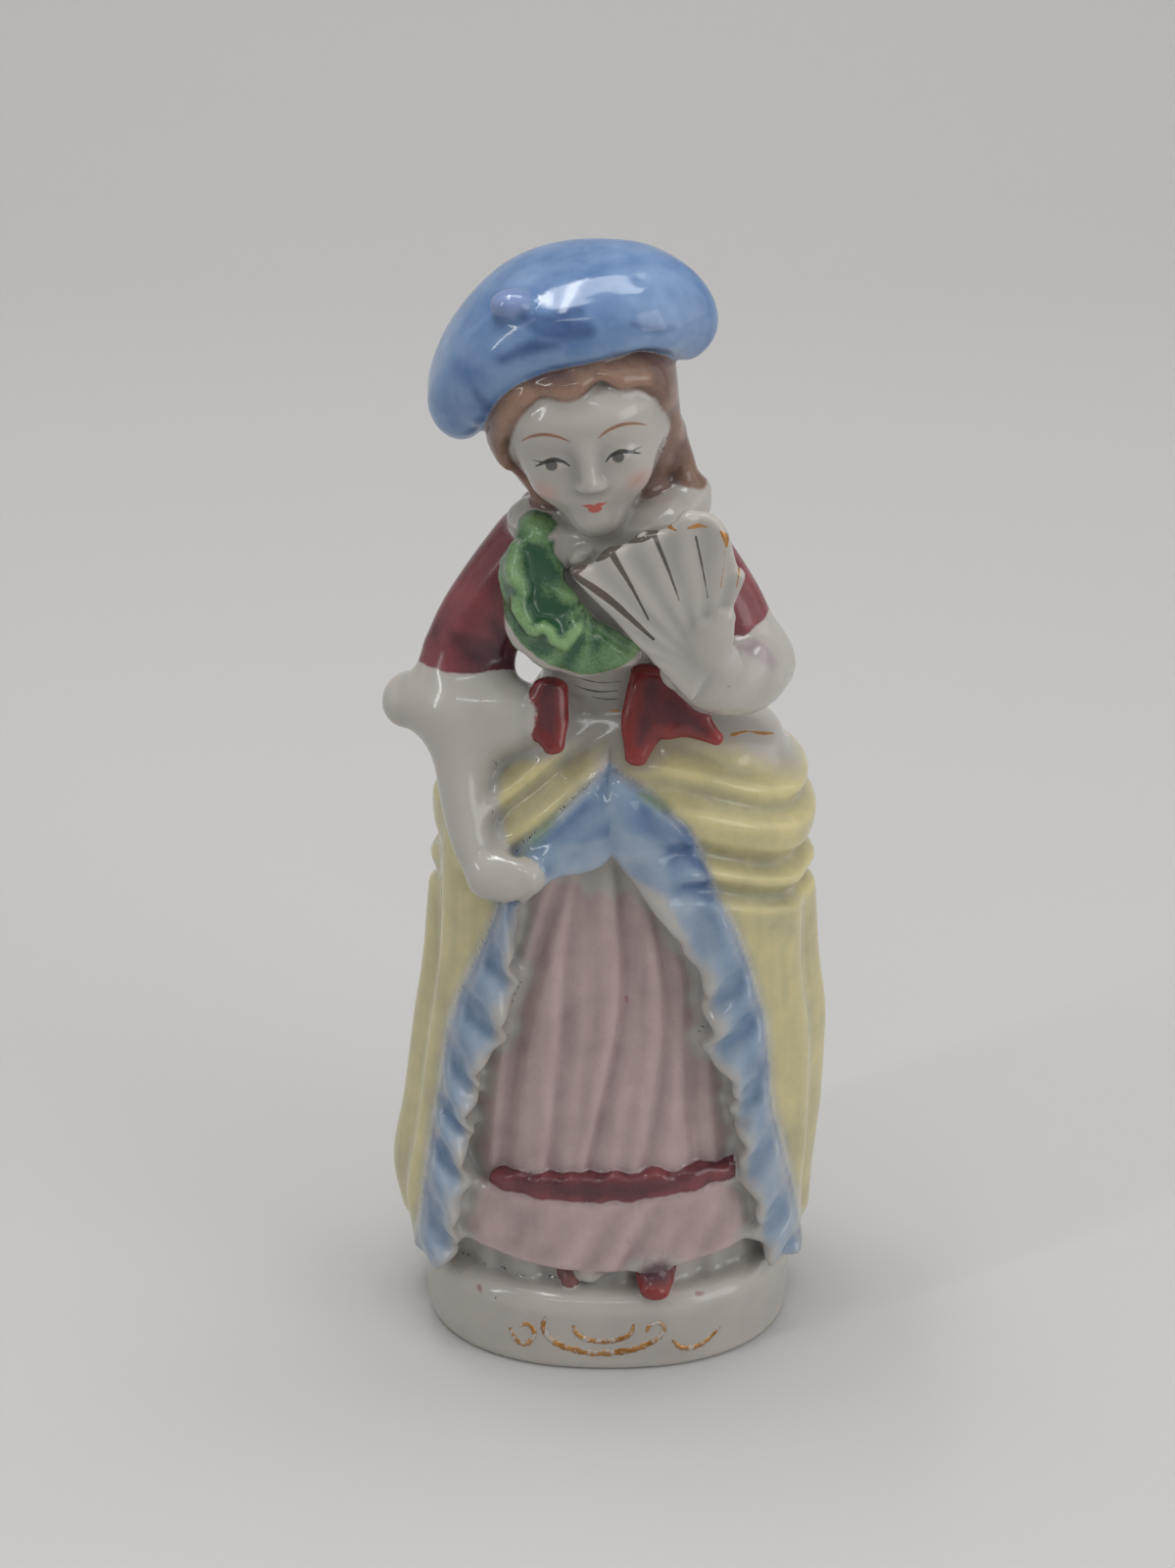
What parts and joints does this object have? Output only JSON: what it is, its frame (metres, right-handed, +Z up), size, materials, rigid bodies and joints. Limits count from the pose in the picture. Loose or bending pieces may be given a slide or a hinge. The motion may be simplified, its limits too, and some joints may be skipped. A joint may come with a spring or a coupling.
{
  "type": "porcelain lady figurine",
  "caption": "Glazed porcelain figurine of a lady in an open swagged gown and beret, with an open fan, on an oval plinth.",
  "frame": {"origin": "middle of the plinth's underside, on the shelf", "axes": "+Z up, the lady faces -Y, her left is +X"},
  "size_m": [0.0482, 0.0369, 0.1283],
  "materials": {
    "white_porcelain": "gloss",
    "pink_enamel": "gloss",
    "red_enamel": "gloss",
    "yellow_enamel": "gloss",
    "blue_enamel": "gloss",
    "brown_enamel": "gloss",
    "green_enamel": "gloss",
    "gilding": "polished"
  },
  "bodies": {
    "root": {"plinth": "white_porcelain", "petticoat": "pink_enamel", "flounce": "pink_enamel", "flounce_ribbon": "red_enamel", "gown_train": "yellow_enamel", "left_pannier": "yellow_enamel", "right_pannier": "yellow_enamel", "left_border": "blue_enamel", "right_border": "blue_enamel", "torso": "white_porcelain", "head": "white_porcelain", "neck": "white_porcelain", "hair": "brown_enamel", "hair_lock": "brown_enamel", "beret": "blue_enamel", "beret_button": "blue_enamel", "right_sleeve": "red_enamel", "left_sleeve": "red_enamel", "right_cuff": "white_porcelain", "left_cuff": "white_porcelain", "right_forearm": "white_porcelain", "right_hand": "white_porcelain", "collar": "green_enamel", "neck_frill": "white_porcelain", "left_hand": "white_porcelain", "fan": "white_porcelain", "collar_frill": "green_enamel", "right_tail": "red_enamel", "left_tail": "red_enamel", "left_shoe": "red_enamel", "right_shoe": "red_enamel", "garland_scroll": "gilding", "centre_scroll": "gilding", "right_scroll": "gilding", "left_scroll": "gilding"}
  },
  "joints": []
}
